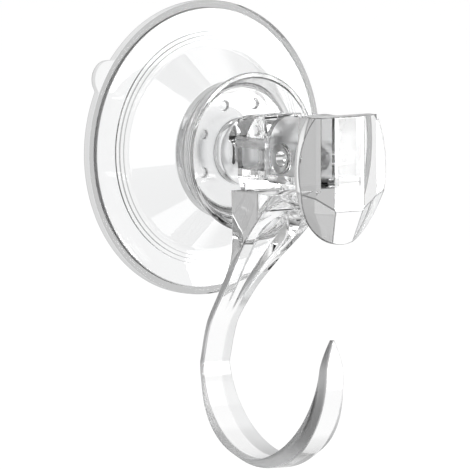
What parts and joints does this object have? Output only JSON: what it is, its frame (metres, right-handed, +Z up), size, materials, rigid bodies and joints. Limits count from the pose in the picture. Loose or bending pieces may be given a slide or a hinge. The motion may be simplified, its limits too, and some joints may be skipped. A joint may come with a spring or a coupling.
{
  "type": "suction cup hook with cam lever",
  "caption": "Clear plastic wall hook on a suction cup. Lifting its faceted lever turns a cam that draws the cup's middle outward and locks the open hook on glass or tile.",
  "frame": {"origin": "centre of the circle on which the cup's lip seals against the wall", "axes": "+Y into the wall, +Z up along the wall, +X to the right as seen from in front; the object stands out along -Y"},
  "size_m": [0.06, 0.049, 0.094],
  "materials": {
    "soft_clear": "soft, water clear",
    "hard_clear": "hard, water clear, polished"
  },
  "bodies": {
    "housing": {"cover": "hard_clear", "hook": "hard_clear", "suction_cup": "soft_clear"},
    "plunger": {"stud": "hard_clear", "pivot_pin": "hard_clear"},
    "handle": {"lever": "hard_clear"}
  },
  "joints": [
    {"name": "stud_slide", "type": "slide", "parent": "housing", "child": "plunger", "axis": [0, -1, 0], "range_m": [0, 0.0029], "deforming": ["suction_cup"]},
    {"name": "lever_hinge", "type": "hinge", "parent": "plunger", "child": "handle", "pos_m": [0, -0.0335, 0], "axis": [-1, 0, 0], "range_deg": [0, 90]}
  ],
  "couplings": [
    {"joint": "stud_slide", "follows": "lever_hinge", "m_per_rad": 0.001845}
  ]
}
